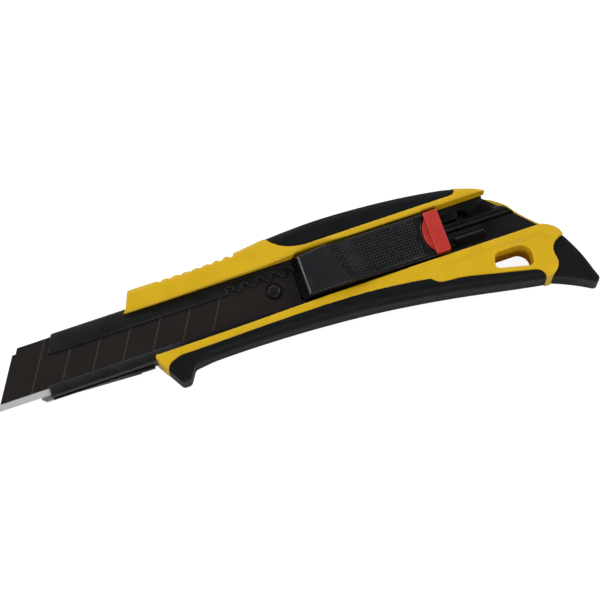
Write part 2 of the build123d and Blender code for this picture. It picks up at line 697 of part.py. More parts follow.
# ---------------------------------------------------------------- slider
with BuildPart() as carriage:
    box_between(slider_front_x, shoe_rear_x, -shoe_half, shoe_half, carrier_bottom_z, shoe_top_z)
    box_between(shoe_rear_x, tail_end_x, -shoe_half, rear_high_y, carrier_bottom_z, shoe_top_z)
    box_between(slider_front_x + 0.2, shoe_rear_x, neck_low_y, neck_high_y, shoe_top_z, base_bottom_z)
    box_between(shoe_rear_x, base_rear_x, neck_low_y, rear_high_y, shoe_top_z, base_bottom_z)
    box_between(base_front_x, base_rear_x, -base_half_width, base_half_width, base_bottom_z, base_top_z)
    with BuildSketch(Plane.YZ.offset(shoe_rear_x)):
        with Locations((tail_y, carrier_bottom_z - 0.2)):
            Circle(tail_radius)
        with Locations((tail_y, carrier_bottom_z)):
            Rectangle(4 * tail_radius, 2 * tail_radius, align=(Align.CENTER, Align.MAX), mode=Mode.SUBTRACT)
    extrude(amount=tail_end_x - shoe_rear_x)
    box_between(slider_front_x, carrier_rear_x, -carrier_half_width, carrier_half_width,
                carrier_bottom_z, carrier_top_z, Mode.SUBTRACT)
    box_between(leaf_front_x, base_rear_x, leaf_low_y - leaf_gap, base_half_width,
                base_bottom_z, leaf_top_z, Mode.SUBTRACT)
    box_between(leaf_front_x + leaf_clamp_length, base_rear_x, leaf_low_y - leaf_gap, base_half_width,
                leaf_top_z, recess_top_z, Mode.SUBTRACT)
    box_between(stem_front_x - 0.8, stem_front_x + stem_length + lock_travel + 0.8,
                tail_y - stem_width / 2 - running_gap, tail_y + stem_width / 2 + running_gap,
                stem_bottom_z - running_gap, handle_top_z, Mode.SUBTRACT)
    with Locations(*[(x, y, carrier_bottom_z) for x, y in carrier_rivet_places]):
        Cylinder(rivet_radius, carrier_rivet_length, align=from_below, mode=Mode.SUBTRACT)
    with Locations(*[(x, y, carrier_bottom_z) for x, y in pad_screw_places]):
        Cylinder(pad_screw_head_radius, pad_screw_head_height, align=from_below, mode=Mode.SUBTRACT)
        Cylinder(pad_screw_radius, pad_screw_length, align=from_below, mode=Mode.SUBTRACT)
    with Locations(spring_rivet_place):
        Cylinder(spring_rivet_radius, base_top_z - leaf_bottom_z, align=from_below, mode=Mode.SUBTRACT)

with BuildPart() as pad_scoop:
    peak_z = base_bottom_z + pad_peak_height
    with BuildSketch(Plane.XZ):
        with BuildLine():
            scoop = Spline((pad_peak_x, peak_z), (pad_peak_x + 2.8, pad_rest_z + 1.6),
                           (pad_peak_x + 8, pad_rest_z + 0.15), (pad_peak_x + 14, pad_rest_z),
                           tangents=[(1, -0.8), (1, 0)])
            Polyline(scoop @ 1, (2 * pad_rear_x, pad_rest_z), (2 * pad_rear_x, peak_z + 1),
                     (pad_peak_x - 1, peak_z + 1), scoop @ 0)
        make_face()
    extrude(amount=30, dir=(-scoop_lean, 1, 0), both=True)
    with BuildSketch(Plane.XY.offset(pad_rest_z - 1)):
        with Locations((pad_rear_x, -pad_rear_half + pad_rim)):
            Rectangle(4 * slider_length, 4 * outer_half, align=(Align.CENTER, Align.MIN))
    extrude(amount=pad_peak_height, mode=Mode.INTERSECT)

with BuildPart() as slider_pad:
    with BuildSketch(Plane.XY.offset(base_bottom_z)):
        add(pad_plan())
    extrude(amount=handle_top_z)
    with BuildSketch(Plane.XZ):
        with BuildLine():
            front = Line((slider_front_x + 0.2, base_bottom_z),
                         (slider_front_x + pad_front_lean, base_bottom_z + pad_front_height))
            wedge = Line(front @ 1, (pad_peak_x, peak_z))
            Polyline(wedge @ 1, (pad_rear_x, peak_z), (pad_rear_x, base_bottom_z), front @ 0)
        make_face()
    extrude(amount=30, both=True, mode=Mode.INTERSECT)
    with BuildSketch(Plane.XZ):
        with BuildLine():
            rim_top = Spline((pad_peak_x, peak_z), (pad_peak_x + 8, pad_rest_z + 2.2),
                             (pad_peak_x + 18, pad_rest_z + 0.8), (pad_rear_x + 1, pad_rest_z),
                             tangents=[(1, -0.1), (1, 0)])
            Polyline(rim_top @ 1, (pad_rear_x + 1, peak_z + 1), (pad_peak_x, peak_z + 1), rim_top @ 0)
        make_face()
    extrude(amount=30, both=True, mode=Mode.SUBTRACT)
    add(pad_scoop.part, mode=Mode.SUBTRACT)
    sides = slider_pad.edges().filter_by(
        lambda edge: (edge @ 0.5).Z > base_top_z and abs((edge @ 0.5).Y) > pad_front_half - 0.1
        and abs(edge.tangent_at(0.5).X) > 0.8)
    fillet(sides, pad_edge_round)
    box_between(base_front_x - pocket_gap, base_rear_x + pocket_gap, -base_half_width - pocket_gap,
                base_half_width + pocket_gap, base_bottom_z, base_top_z + pocket_gap, Mode.SUBTRACT)
    box_between(base_rear_x, pad_rear_x + 1, leaf_low_y - leaf_gap, leaf_high_y + part_gap,
                base_bottom_z, recess_top_z + spring_gap, Mode.SUBTRACT)
    with Locations(*[(x, y, carrier_bottom_z) for x, y in pad_screw_places]):
        Cylinder(pad_screw_radius, pad_screw_length, align=from_below, mode=Mode.SUBTRACT)

with BuildPart() as pad_screws:
    with Locations(*[(x, y, carrier_bottom_z) for x, y in pad_screw_places]):
        Cylinder(pad_screw_head_radius, pad_screw_head_height, align=from_below)
        Cylinder(pad_screw_radius, pad_screw_length, align=from_below)

with BuildPart() as detent_spring:
    box_between(leaf_front_x, leaf_rear_x, leaf_low_y, leaf_high_y, leaf_bottom_z, leaf_top_z)
    box_between(tooth_x - tooth_width / 2, tooth_x + tooth_width / 2, upper_edge_y + leaf_gap,
                upper_edge_y + notch_depth - leaf_gap, flange_bottom_z + spring_gap, leaf_bottom_z)
    with Locations(spring_rivet_place):
        Cylinder(spring_rivet_radius, leaf_thickness, align=from_below, mode=Mode.SUBTRACT)

with BuildPart() as spring_rivet:
    with Locations(spring_rivet_place):
        Cylinder(spring_rivet_radius, base_top_z - leaf_bottom_z, align=from_below)

# ---------------------------------------------------------------- lock
with BuildPart() as lock_bar:
    box_between(bar_front_x, bar_front_x + lock_width, -lock_half_length, lock_half_length,
                bar_bottom_z, bar_top_z)
    fillet(lock_bar.edges(), lock_round)
    with BuildSketch(Plane.XY.offset(disc_bottom_z)):
        with Locations((pad_arc_x + part_gap + lock_disc_radius, 0)):
            Circle(lock_disc_radius)
        with Locations((bar_front_x + 0.6, 0)):
            Rectangle(40, 40, align=(Align.MIN, Align.CENTER), mode=Mode.SUBTRACT)
    extrude(amount=disc_top_z - disc_bottom_z)
    box_between(stem_front_x, stem_front_x + stem_length, tail_y - stem_width / 2, tail_y + stem_width / 2,
                stem_bottom_z, bar_bottom_z + 0.5)
    box_between(wedge_tab_x, wedge_tab_x + 2 * leaf_thickness, leaf_low_y + leaf_gap, leaf_high_y,
                disc_bottom_z - 1, wedge_top_z, Mode.SUBTRACT)

with BuildPart() as lock_wedge:
    box_between(wedge_front_x, wedge_tab_x + 2 * leaf_thickness, leaf_low_y + leaf_gap, leaf_high_y,
                leaf_top_z + spring_gap, recess_top_z - spring_gap)
    box_between(wedge_tab_x, wedge_tab_x + 2 * leaf_thickness, leaf_low_y + leaf_gap, leaf_high_y,
                leaf_top_z + spring_gap, wedge_top_z)

with BuildPart() as lock_click_spring:
    box_between(stem_front_x - 0.6, stem_front_x + stem_length + lock_travel + 0.6, tail_y - stem_width / 2,
                tail_y + stem_width / 2, stem_bottom_z - running_gap, stem_bottom_z - 0.03)

# ---------------------------------------------------------------- labels and files
handle_shell.part.label = "handle_shell"
upper_grip.part.label = "upper_grip"
lower_grip.part.label = "lower_grip"
tail_fin.part.label = "tail_fin"
fin_pins.part.label = "fin_pins"
inner_frame.part.label = "inner_frame"
shell_screws.part.label = "shell_screws"
blade_holder.part.label = "blade_holder"
holder_back_plate.part.label = "holder_back_plate"
holder_rivets.part.label = "holder_rivets"
snap_off_blade.part.label = "snap_off_blade"
carrier_plate.part.label = "carrier_plate"
blade_peg.part.label = "blade_peg"
carrier_rivets.part.label = "carrier_rivets"
carriage.part.label = "carriage"
slider_pad.part.label = "slider_pad"
pad_screws.part.label = "pad_screws"
detent_spring.part.label = "detent_spring"
spring_rivet.part.label = "spring_rivet"
lock_bar.part.label = "lock_bar"
lock_wedge.part.label = "lock_wedge"
lock_click_spring.part.label = "lock_click_spring"

export_step(handle_shell.part, "parts/handle_shell.step")
export_step(upper_grip.part, "parts/upper_grip.step")
export_step(lower_grip.part, "parts/lower_grip.step")
export_step(tail_fin.part, "parts/tail_fin.step")
export_step(fin_pins.part, "parts/fin_pins.step")
export_step(inner_frame.part, "parts/inner_frame.step")
export_step(shell_screws.part, "parts/shell_screws.step")
export_step(blade_holder.part, "parts/blade_holder.step")
export_step(holder_back_plate.part, "parts/holder_back_plate.step")
export_step(holder_rivets.part, "parts/holder_rivets.step")
export_step(snap_off_blade.part, "parts/snap_off_blade.step")
export_step(carrier_plate.part, "parts/carrier_plate.step")
export_step(blade_peg.part, "parts/blade_peg.step")
export_step(carrier_rivets.part, "parts/carrier_rivets.step")
export_step(carriage.part, "parts/carriage.step")
export_step(slider_pad.part, "parts/slider_pad.step")
export_step(pad_screws.part, "parts/pad_screws.step")
export_step(detent_spring.part, "parts/detent_spring.step")
export_step(spring_rivet.part, "parts/spring_rivet.step")
export_step(lock_bar.part, "parts/lock_bar.step")
export_step(lock_wedge.part, "parts/lock_wedge.step")
export_step(lock_click_spring.part, "parts/lock_click_spring.step")
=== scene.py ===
"""Snap-off utility knife: moulded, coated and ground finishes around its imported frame.

The knife lies on its flat back, blade towards -X, spine towards +Y, slider up. Metres.
"""
import json
import math

import bpy
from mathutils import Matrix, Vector
from mathutils.bvhtree import BVHTree

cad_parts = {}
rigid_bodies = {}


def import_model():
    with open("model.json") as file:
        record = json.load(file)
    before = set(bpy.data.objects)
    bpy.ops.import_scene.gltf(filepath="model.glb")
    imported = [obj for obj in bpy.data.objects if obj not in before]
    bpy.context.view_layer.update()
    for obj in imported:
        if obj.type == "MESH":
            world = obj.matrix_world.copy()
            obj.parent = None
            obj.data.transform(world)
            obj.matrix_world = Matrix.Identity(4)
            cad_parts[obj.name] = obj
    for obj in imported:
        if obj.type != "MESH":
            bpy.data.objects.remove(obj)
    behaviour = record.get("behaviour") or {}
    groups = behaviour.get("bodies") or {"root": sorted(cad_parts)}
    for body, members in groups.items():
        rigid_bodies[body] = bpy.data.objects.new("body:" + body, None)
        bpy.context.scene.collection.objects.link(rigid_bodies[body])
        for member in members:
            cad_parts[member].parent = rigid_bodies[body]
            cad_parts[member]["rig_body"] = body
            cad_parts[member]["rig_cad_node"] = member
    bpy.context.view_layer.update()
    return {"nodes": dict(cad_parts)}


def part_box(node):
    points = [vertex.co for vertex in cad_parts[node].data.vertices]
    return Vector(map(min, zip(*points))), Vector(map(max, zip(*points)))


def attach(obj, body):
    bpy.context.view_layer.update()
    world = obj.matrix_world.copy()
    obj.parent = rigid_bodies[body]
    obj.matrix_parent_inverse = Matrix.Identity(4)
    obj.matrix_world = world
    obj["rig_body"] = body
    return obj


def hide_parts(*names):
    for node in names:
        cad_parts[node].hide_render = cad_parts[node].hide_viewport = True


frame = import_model()

MM = 0.001

# The thumb pad's crest: its place on the middle line, and how far it runs forward per unit of +Y.
CREST_X = 5.7 * MM
CREST_LEAN = 0.33

# ---------------------------------------------------------------- camera
camera_data = bpy.data.cameras.new("camera")
camera_data.sensor_width = 36.0
camera_data.lens = 144.0
camera_data.clip_start = 0.01
camera = bpy.data.objects.new("camera", camera_data)
bpy.context.scene.collection.objects.link(camera)
camera.location = (-0.07335176, -0.20521901, 0.74027541)
camera.rotation_euler = [math.radians(angle) for angle in (15.97619967, 0.32005142, -19.08538763)]
bpy.context.scene.camera = camera


# ---------------------------------------------------------------- shader tools
def linear(code):
    """An sRGB hex colour as linear RGBA."""
    shades = [int(code[place:place + 2], 16) / 255 for place in (0, 2, 4)]
    return (*[s / 12.92 if s <= 0.04045 else ((s + 0.055) / 1.055) ** 2.4 for s in shades], 1.0)


def per_mm(size):
    """Texture scale on Object coordinates for a pattern of this size in millimetres."""
    return 1.0 / (size * MM)


def add_node(tree, kind, sockets=None, **settings):
    """Adds a shader node with its settings, and fills its sockets with values or links."""
    made = tree.nodes.new(kind)
    for name, value in settings.items():
        setattr(made, name, value)
    for name, value in (sockets or {}).items():
        if isinstance(value, bpy.types.NodeSocket):
            tree.links.new(value, made.inputs[name])
        else:
            made.inputs[name].default_value = value
    return made


def new_material(name):
    """An empty node material with its tree and its Principled shader."""
    material = bpy.data.materials.new(name)
    material.use_nodes = True
    return material, material.node_tree, material.node_tree.nodes["Principled BSDF"]


def object_place(tree):
    """The place of a point on its piece."""
    return add_node(tree, "ShaderNodeTexCoord").outputs["Object"]


def split_axes(tree, vector):
    """A vector's X, Y and Z, by name."""
    return add_node(tree, "ShaderNodeSeparateXYZ", {"Vector": vector}).outputs


def maths(tree, operation, *values):
    """One Math node's result."""
    return add_node(tree, "ShaderNodeMath", dict(enumerate(values)), operation=operation).outputs["Value"]


def ramp(tree, value, start, end, low=0.0, high=1.0):
    """Low where the value is at start, high where it is at end, and even in between."""
    return add_node(tree, "ShaderNodeMapRange", {
        "Value": value, "From Min": start, "From Max": end, "To Min": low, "To Max": high}).outputs["Result"]


def blend(tree, share, first, second):
    """The first colour where the share is 0, the second where it is 1."""
    mixed = add_node(tree, "ShaderNodeMix", {"Factor": share, 6: first, 7: second}, data_type="RGBA")
    return mixed.outputs[2]


def noise(tree, vector, scale, detail):
    """An uneven pattern on a vector."""
    return add_node(tree, "ShaderNodeTexNoise", {
        "Vector": vector, "Scale": scale, "Detail": detail}).outputs["Fac"]


def relief(tree, pattern, strength, height):
    """A raised pattern, with its height in millimetres."""
    return add_node(tree, "ShaderNodeBump", {
        "Height": pattern, "Strength": strength, "Distance": height * MM}).outputs["Normal"]


def mottle(tree, pattern, dark, light, span=(0.3, 0.7)):
    """A tone that drifts between two colours with a pattern."""
    tint = add_node(tree, "ShaderNodeValToRGB", {"Fac": pattern})
    for element, position, code in zip(tint.color_ramp.elements, span, (dark, light)):
        element.position = position
        element.color = linear(code)
    return tint.outputs["Color"]


def uneven_gloss(tree, pattern, low, high):
    """A roughness that drifts between two values with a pattern."""
    return ramp(tree, pattern, 0.3, 0.7, low, high)


def grained(name, tones, rough, ior, shine=0.5, span=(0.3, 0.7), patch=(5.0, 3.0), grain=(0.3, 3.0),
            raised=(0.25, 0.03)):
    """A moulded plastic or a coat: tone and gloss drift in broad patches, under a fine grain.

    tones are its darkest and lightest colours and rough is the range of its roughness. patch and
    grain are each a size in millimetres and a detail. raised is the grain's strength and height.
    """
    material, tree, shader = new_material(name)
    place = object_place(tree)
    flow = noise(tree, place, per_mm(patch[0]), patch[1])
    skin = noise(tree, place, per_mm(grain[0]), grain[1])
    tree.links.new(mottle(tree, flow, *tones, span), shader.inputs["Base Color"])
    tree.links.new(uneven_gloss(tree, flow, *rough), shader.inputs["Roughness"])
    tree.links.new(relief(tree, skin, *raised), shader.inputs["Normal"])
    shader.inputs["IOR"].default_value = ior
    shader.inputs["Specular IOR Level"].default_value = shine
    return material


def grind_bare(tree, coat, place, where, code, rough, stroke, detail, strength):
    """Takes the coat off where the mask is 1, down to ground steel.

    stroke is the size of the grinding lines along each axis, in millimetres.
    """
    lie = add_node(tree, "ShaderNodeMapping", {
        "Vector": place, "Scale": [per_mm(size) for size in stroke]}).outputs["Vector"]
    lines = noise(tree, lie, 1.0, detail)
    steel = add_node(tree, "ShaderNodeBsdfPrincipled", {
        "Base Color": linear(code), "Metallic": 1.0, "Roughness": rough,
        "Normal": relief(tree, lines, strength, 0.02)})
    both = add_node(tree, "ShaderNodeMixShader", {
        "Fac": where, 1: coat.outputs["BSDF"], 2: steel.outputs["BSDF"]})
    tree.links.new(both.outputs["Shader"], tree.nodes["Material Output"].inputs["Surface"])


# ---------------------------------------------------------------- shape tools
def pick(piece):
    """Leaves this piece alone selected and active."""
    bpy.ops.object.select_all(action="DESELECT")
    piece.select_set(True)
    bpy.context.view_layer.objects.active = piece


def own_copy(node, name):
    """A CAD node's mesh as a piece of its own, welded and cleared of its split normals."""
    piece = frame["nodes"][node].copy()
    piece.data = frame["nodes"][node].data.copy()
    piece.parent = None
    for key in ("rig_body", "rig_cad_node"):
        del piece[key]
    piece.name = name
    piece.data.name = name
    bpy.context.scene.collection.objects.link(piece)
    pick(piece)
    bpy.ops.mesh.customdata_custom_splitnormals_clear()
    bpy.ops.object.mode_set(mode="EDIT")
    bpy.ops.mesh.select_all(action="SELECT")
    bpy.ops.mesh.remove_doubles(threshold=0.002 * MM)
    bpy.ops.mesh.dissolve_limited(angle_limit=math.radians(0.2))
    bpy.ops.object.mode_set(mode="OBJECT")
    return piece


def apply_modifier(piece, kind, **settings):
    """Adds a modifier with its settings and applies it."""
    pick(piece)
    modifier = piece.modifiers.new(kind.lower(), kind)
    for name, value in settings.items():
        setattr(modifier, name, value)
    bpy.ops.object.modifier_apply(modifier=modifier.name)


def smooth(piece, sharp=38.0):
    """Shades a piece smooth, apart from the edges that are sharper than that angle."""
    pick(piece)
    bpy.ops.object.shade_smooth_by_angle(angle=math.radians(sharp))


def round_edges(piece, width, segments, sharp=32.0):
    """Rounds every edge that is sharper than that angle, as a mould or a tumbler leaves it."""
    apply_modifier(piece, "BEVEL", width=width * MM, segments=segments, limit_method="ANGLE",
                   angle_limit=math.radians(sharp), use_clamp_overlap=False, miter_outer="MITER_ARC",
                   harden_normals=False)
    smooth(piece)


# Smoothing draws a recast piece in a little, and this swells it again, in millimetres.
REGAIN = 0.07


def mould(piece, grid, passes, keep=1.0):
    """Recasts a piece on a fine even grid and relaxes it, so that its edges are as soft as moulded ones."""
    apply_modifier(piece, "REMESH", mode="VOXEL", voxel_size=grid * MM, adaptivity=0.0)
    apply_modifier(piece, "SMOOTH", factor=0.5, iterations=passes)
    apply_modifier(piece, "DISPLACE", strength=REGAIN * MM, mid_level=0.0)
    if keep < 1.0:
        apply_modifier(piece, "DECIMATE", ratio=keep)
    pick(piece)
    bpy.ops.object.shade_smooth()


def clear_choice(piece, kind):
    """Leaves nothing selected on a piece, ready for a choice of its vertices or edges."""
    pick(piece)
    bpy.ops.object.mode_set(mode="EDIT")
    bpy.ops.mesh.select_mode(type=kind)
    bpy.ops.mesh.select_all(action="DESELECT")
    bpy.ops.object.mode_set(mode="OBJECT")


def choose(piece, chosen):
    """Selects the vertices of a piece that pass the test and leaves it in edit mode."""
    clear_choice(piece, "VERT")
    for vertex in piece.data.vertices:
        vertex.select = chosen(vertex.co)
    bpy.ops.object.mode_set(mode="EDIT")


def nudge(piece, chosen, offset):
    """Moves the vertices of a piece that pass the test."""
    choose(piece, chosen)
    bpy.ops.transform.translate(value=offset)
    bpy.ops.object.mode_set(mode="OBJECT")


def bevel_choice(width, segments):
    """Rounds the chosen edges of the active piece."""
    bpy.ops.object.mode_set(mode="EDIT")
    bpy.ops.mesh.bevel(offset=width * MM, segments=segments, affect="EDGES")
    bpy.ops.object.mode_set(mode="OBJECT")


def round_corner(piece, width, segments, on_edge, face_a, face_b):
    """Rounds the edges that lie in a place and join two faces whose normals pass their tests."""
    clear_choice(piece, "EDGE")
    mesh = piece.data
    beside = {}
    for polygon in mesh.polygons:
        for key in polygon.edge_keys:
            beside.setdefault(key, []).append(polygon.normal)
    for edge in mesh.edges:
        normals = beside.get(tuple(sorted(edge.vertices)), [])
        placed = all(on_edge(mesh.vertices[index].co) for index in edge.vertices)
        edge.select = placed and any(face_a(n) for n in normals) and any(face_b(n) for n in normals)
    bevel_choice(width, segments)


def dress(piece, material, body, slot, *nodes):
    """Gives a new piece its finish, its body and the CAD nodes that it stands for."""
    piece.data.materials.clear()
    piece.data.materials.append(material)
    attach(piece, body)
    if nodes:
        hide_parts(*nodes)


# ---------------------------------------------------------------- materials
def black_nylon(name="black_nylon_moulded", dark="090A0B", light="0C0E0F", rough=0.28, shine=0.15):
    """Injection-moulded nylon: near-black satin with a faint grain of its filler."""
    return grained(name, (dark, light), (rough - 0.05, rough + 0.05), 1.53, shine)


PAD_SHINE = 0.3
PAD_WALL_SHINE = 0.05


def slider_nylon():
    """The slider's nylon: satin on its crest and rim, with painted shade in its hollow and on the wall that
    faces the blade, where that wall also reflects less."""
    material = black_nylon("black_nylon_slider", "17191C", "1A1C1F", 0.32, PAD_SHINE)
    tree = material.node_tree
    shader = tree.nodes["Principled BSDF"]
    crest_tone = shader.inputs["Base Color"].links[0].from_socket
    # Painted shade: the hollow behind the crest, among the pips, and the wall facing -X are coloured darker,
    # and that wall reflects less.
    axes = split_axes(tree, object_place(tree))
    from_crest = maths(tree, "MULTIPLY_ADD", axes["Y"], CREST_LEAN, axes["X"])
    hollow = ramp(tree, from_crest, CREST_X + 0.2 * MM, CREST_X + 1.2 * MM)
    facing = split_axes(tree, add_node(tree, "ShaderNodeNewGeometry").outputs["Normal"])["X"]
    wall = ramp(tree, facing, -0.75, -0.9)
    dark = blend(tree, maths(tree, "MAXIMUM", hollow, wall), crest_tone, linear("090B0D"))
    tree.links.new(dark, shader.inputs["Base Color"])
    tree.links.new(ramp(tree, wall, 0.0, 1.0, PAD_SHINE, PAD_WALL_SHINE),
                   shader.inputs["Specular IOR Level"])
    return material


# The channel's coat reflects less, as painted shade, from the first to the second of these places along X,
# towards its rear and inside the handle's mouth where the handle shades it. Inside the mouth that holds only
# on the low side of COAT_LOW_Y.
COAT_REAR = (20 * MM, 45 * MM)
COAT_MOUTH = (-52 * MM, -46 * MM)
COAT_LOW_Y = -4 * MM
COAT_SHINE = 0.38
COAT_SHADED_SHINE = 0.12


def black_coated_steel(name="black_coated_steel"):
    """Pressed steel sheet under a thin black electrocoat: deep black, even, half gloss, with painted shade
    as a weaker reflection towards its rear and inside the handle's mouth.
    """
    material = grained(name, ("0D0E10", "101213"), (0.3, 0.4), 1.5,
                       patch=(6.0, 3.0), grain=(0.8, 2.0), raised=(0.2, 0.02))
    tree = material.node_tree
    axes = split_axes(tree, object_place(tree))
    rear = ramp(tree, axes["X"], *COAT_REAR)
    mouth = ramp(tree, axes["X"], *COAT_MOUTH)
    # Painted shade: the coat reflects less in the handle's mouth below the lower arm and towards the rear.
    arm_shaded = maths(tree, "MULTIPLY", mouth, maths(tree, "LESS_THAN", axes["Y"], COAT_LOW_Y))
    dull = maths(tree, "MAXIMUM", rear, arm_shaded)
    tree.links.new(ramp(tree, dull, 0.0, 1.0, COAT_SHINE, COAT_SHADED_SHINE),
                   tree.nodes["Principled BSDF"].inputs["Specular IOR Level"])
    return material


def lipped_plate():
    """The same black-coated sheet, ground bare on the lip ahead of the channel."""
    material = black_coated_steel("black_coated_steel_with_ground_lip")
    tree = material.node_tree
    place = object_place(tree)
    lip_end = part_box("blade_holder")[0].x + 0.3 * MM
    bare = maths(tree, "LESS_THAN", split_axes(tree, place)["X"], lip_end)
    grind_bare(tree, tree.nodes["Principled BSDF"], place, bare, "E2E2E0", 0.45, (3.0, 0.15, 3.0), 2.0, 0.3)
    return material


GROUND_EDGE_WIDTH = 2.1 * MM
SCORE_SKIN = 0.05 * MM


def blade_steel():
    """Hardened carbon steel with a black oxide skin, ground bright along its edge, and score lines cut
    through the skin. The oxide is a thin dark brown-black with a dull gloss."""
    material, tree, shader = new_material("black_oxide_blade_steel")
    place = object_place(tree)
    axes = split_axes(tree, place)
    low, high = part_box("snap_off_blade")
    oxide = mottle(tree, noise(tree, place, per_mm(12.0), 4.0), "191412", "1D1715")
    under_skin = maths(tree, "LESS_THAN", axes["Z"], high.z - SCORE_SKIN)
    upper_half = maths(tree, "GREATER_THAN", axes["Z"], (low.z + high.z) / 2)
    scored = maths(tree, "MULTIPLY", under_skin, upper_half)
    tree.links.new(blend(tree, scored, oxide, linear("3A3634")), shader.inputs["Base Color"])
    shader.inputs["Roughness"].default_value = 0.38
    shader.inputs["IOR"].default_value = 1.5
    shader.inputs["Specular IOR Level"].default_value = 0.3
    ground = maths(tree, "LESS_THAN", axes["Y"], low.y + GROUND_EDGE_WIDTH)
    grind_bare(tree, shader, place, ground, "D2D2D0", 0.6, (0.12, 2.5, 2.5), 3.0, 0.35)
    return material


def zinc_plated_steel():
    """Turned steel with bright zinc plating: small screws, rivets and springs."""
    material, tree, shader = new_material("zinc_plated_steel")
    flow = noise(tree, object_place(tree), per_mm(1.2), 3.0)
    tree.links.new(mottle(tree, flow, "9C9FA1", "B4B6B6", (0.0, 1.0)), shader.inputs["Base Color"])
    tree.links.new(uneven_gloss(tree, flow, 0.26, 0.4), shader.inputs["Roughness"])
    shader.inputs["Metallic"].default_value = 1.0
    return material


# Injection-moulded ABS with a fine spark-eroded grain: an even satin yellow, slightly uneven gloss.
YELLOW = grained("yellow_abs_moulded", ("CFA606", "D5AC09"), (0.4, 0.48), 1.54, 0.3, span=(0.35, 0.65),
                 patch=(9.0, 2.0), grain=(0.35, 3.0), raised=(0.25, 0.04))
# Overmoulded thermoplastic elastomer with a matt etched skin: dark, with a soft sheen at its edges.
ELASTOMER = grained("black_elastomer_overmoulded", ("0A0C0D", "0E1011"), (0.5, 0.6), 1.5, 0.13,
                    patch=(7.0, 3.0), grain=(0.4, 4.0), raised=(0.5, 0.06))
NYLON = black_nylon()
PAD_NYLON = slider_nylon()
PEG_NYLON = black_nylon("black_nylon_peg", "0F1011", "121314", 0.38, 0.25)
# The pips are the pad's nylon coloured lighter, as a painted highlight on their tops.
LIT_PIP_NYLON = black_nylon("black_nylon_pips_painted_highlight", "232527", "28292B", 0.3, 0.3)
# Injection-moulded acetal: a smooth, slightly waxy red.
RED = grained("red_acetal_moulded", ("B42C25", "BA3029"), (0.36, 0.44), 1.48, span=(0.35, 0.65),
              patch=(4.0, 2.0), grain=(0.3, 2.0), raised=(0.2, 0.02))
COATED = black_coated_steel()
LIPPED = lipped_plate()
BLADE = blade_steel()
ZINC = zinc_plated_steel()

# ---------------------------------------------------------------- CAD nodes that stay
STAYING = {
    "fin_pins": ZINC, "shell_screws": ZINC, "holder_rivets": COATED, "snap_off_blade": BLADE,
    "carrier_plate": COATED, "carrier_rivets": ZINC, "pad_screws": ZINC,
    "detent_spring": ZINC, "spring_rivet": ZINC, "lock_bar": RED, "lock_wedge": ZINC,
    "lock_click_spring": COATED, "inner_frame": NYLON, "holder_back_plate": LIPPED,
}
for node_name, finish in STAYING.items():
    mesh = frame["nodes"][node_name].data
    mesh.materials.clear()
    mesh.materials.append(finish)

# ---------------------------------------------------------------- softened shell
# The shell's slot for the channel: half its width, the place where its straight front part ends, and the
# length of that part. Its vertices are found within SLOT_NEAR of its sides.
SLOT_SIDE = 8.2 * MM
SLOT_END_X = -4 * MM
SLOT_RUN = 57 * MM
SLOT_NEAR = 0.02 * MM
# How far the slot's upper edge, the foot of that wall and the slot's lower edge move towards -Y. The foot
# is also turned, by UNDERCUT over the length of the run.
SLOT_SHIFT = 0.75 * MM
SLOT_FOOT_SHIFT = 0.45 * MM
LOWER_SLOT_SHIFT = 0.33 * MM
UNDERCUT = 0.6 * MM
# The nose beside the slot's upper edge reaches further forward.
NOSE_X = -59 * MM
NOSE_NEAR = 0.5 * MM
NOSE_REACH = 0.6 * MM
# The rounding of the slot's upper edge and of the thumb pad's front edge, in millimetres.
EDGE_ROUND = 0.9
EDGE_SEGMENTS = 4
SHELL_KEEP = 0.3

flange_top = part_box("blade_holder")[1].z
foot_top = flange_top + 1 * MM
shell = own_copy("handle_shell", "yellow_shell")
choose(shell, lambda co: co.x < SLOT_END_X and abs(co.y - SLOT_SIDE) < SLOT_NEAR and co.z < foot_top)
bpy.ops.transform.rotate(value=UNDERCUT / SLOT_RUN, orient_axis="Z",
                         center_override=(SLOT_END_X, SLOT_SIDE, flange_top))
bpy.ops.transform.translate(value=(0, -SLOT_FOOT_SHIFT, 0))
bpy.ops.object.mode_set(mode="OBJECT")
nudge(shell, lambda co: co.x < SLOT_END_X and abs(co.y - SLOT_SIDE) < SLOT_NEAR and co.z > foot_top,
      (0, -SLOT_SHIFT, 0))
nudge(shell, lambda co: co.x < SLOT_END_X and abs(co.y + SLOT_SIDE) < SLOT_NEAR, (0, -LOWER_SLOT_SHIFT, 0))
nudge(shell, lambda co: co.x < NOSE_X and abs(co.y - SLOT_SIDE) < NOSE_NEAR, (-NOSE_REACH, 0, 0))
round_corner(shell, EDGE_ROUND, EDGE_SEGMENTS,
             lambda co: abs(co.y - SLOT_SIDE + SLOT_SHIFT / 2) < SLOT_SHIFT,
             lambda normal: normal.z > 0.9, lambda normal: normal.y < -0.7)
mould(shell, 0.25, 4)

# The crease below the channel's bead, in millimetres. It is softened on the face above CREASE_LOW_Z.
CREASE = [(34.6, -12.6), (38.5, -11.2), (44.6, -11.0), (52.4, -10.75), (59.7, -11.0), (67.2, -11.2),
          (71.0, -11.8), (72.9, -13.1), (72.7, -15.4)]
CREASE_FRONT_X = 33 * MM
CREASE_REAR_X = 74 * MM
CREASE_LOW_Z = 11 * MM
CREASE_REACH = 1.15
CREASE_PASSES = 16


